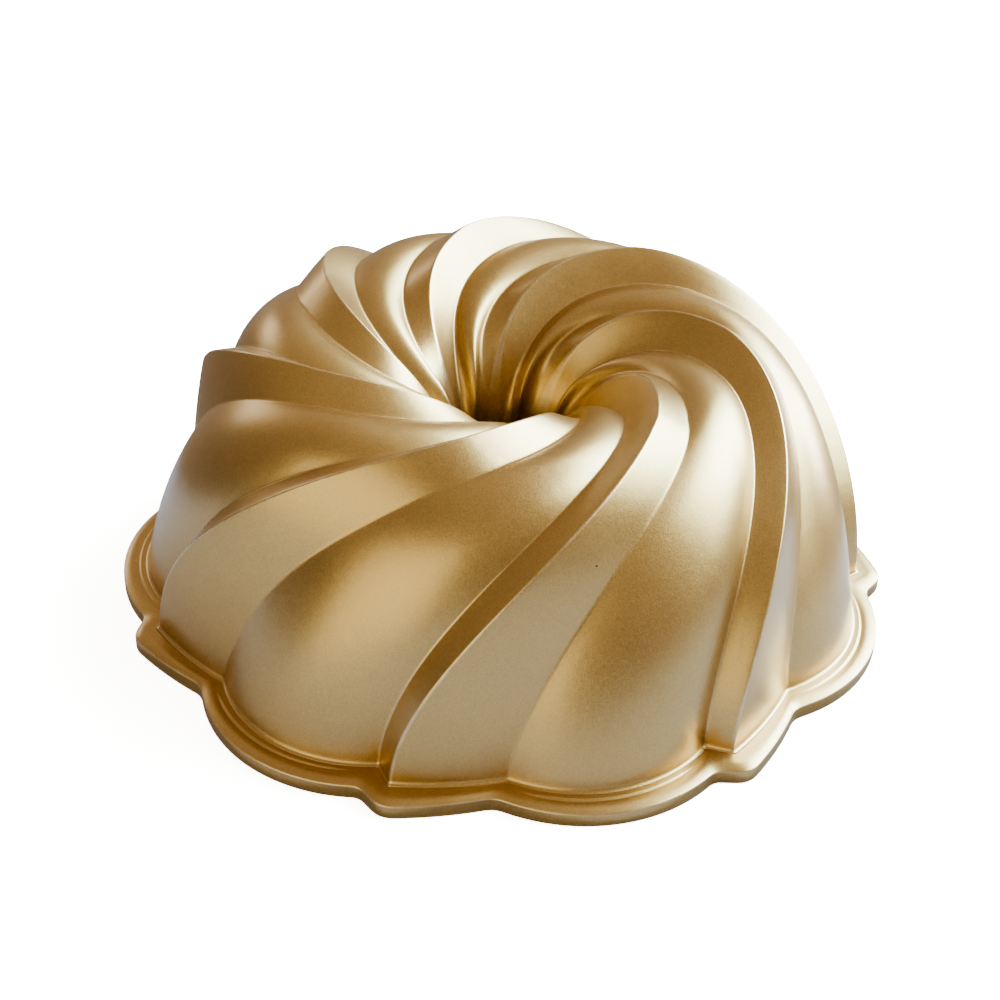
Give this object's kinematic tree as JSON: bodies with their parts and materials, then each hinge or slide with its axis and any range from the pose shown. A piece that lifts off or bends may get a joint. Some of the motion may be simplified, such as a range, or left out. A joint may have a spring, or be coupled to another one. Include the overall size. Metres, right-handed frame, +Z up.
{
  "type": "bundt pan",
  "caption": "Ring-shaped cast cake pan lying rim down, with a spiral fluted wall, a scalloped flat rim and an open centre tube.",
  "frame": {"origin": "centre of the rim plane, on the axis of the swirl; the pan lies rim down on it", "axes": "+Z up along the axis of the centre tube, away from the surface that the rim rests on; X and Y lie in the rim plane"},
  "size_m": [0.2561, 0.2528, 0.0966],
  "materials": {
    "wall": "satin champagne-gold metallic coat with a very fine speckle on thick cast aluminium",
    "tube": "the same satin champagne-gold coat, a little duller inside the tube",
    "rim": "the same satin champagne-gold coat on the flange"
  },
  "bodies": {
    "root": {"swirl_shell": "wall", "centre_tube": "tube", "rim_flange": "rim"}
  },
  "joints": []
}
